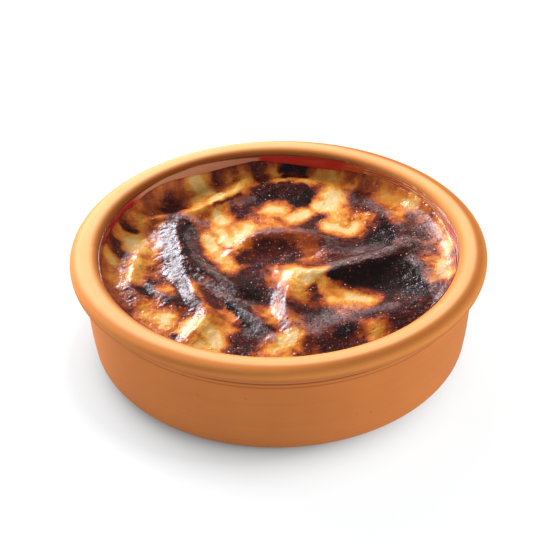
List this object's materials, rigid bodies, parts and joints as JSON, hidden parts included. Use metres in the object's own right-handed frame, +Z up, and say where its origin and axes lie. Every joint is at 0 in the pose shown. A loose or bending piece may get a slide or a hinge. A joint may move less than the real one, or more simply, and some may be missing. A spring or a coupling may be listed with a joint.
{
  "type": "baked rice pudding",
  "caption": "Oven-baked rice pudding with a folded, browned skin, filled into a low round terracotta dish with a rolled rim.",
  "frame": {"origin": "centre of the dish's flat base, on the surface it stands on", "axes": "+Z up out of the dish's mouth; -Y is the front, towards the viewer; +X to the viewer's right"},
  "size_m": [0.125, 0.125, 0.0334],
  "materials": {
    "terracotta": "unglazed, matt, warm orange clay",
    "glaze": "clear dark red-brown glaze on the inside of the dish, glossy",
    "baked_skin": "baked milk skin, cream to gold to dark caramel and near-black, glossy and finely pored"
  },
  "bodies": {
    "root": {"dish": "terracotta", "pudding": "baked_skin"}
  },
  "joints": []
}
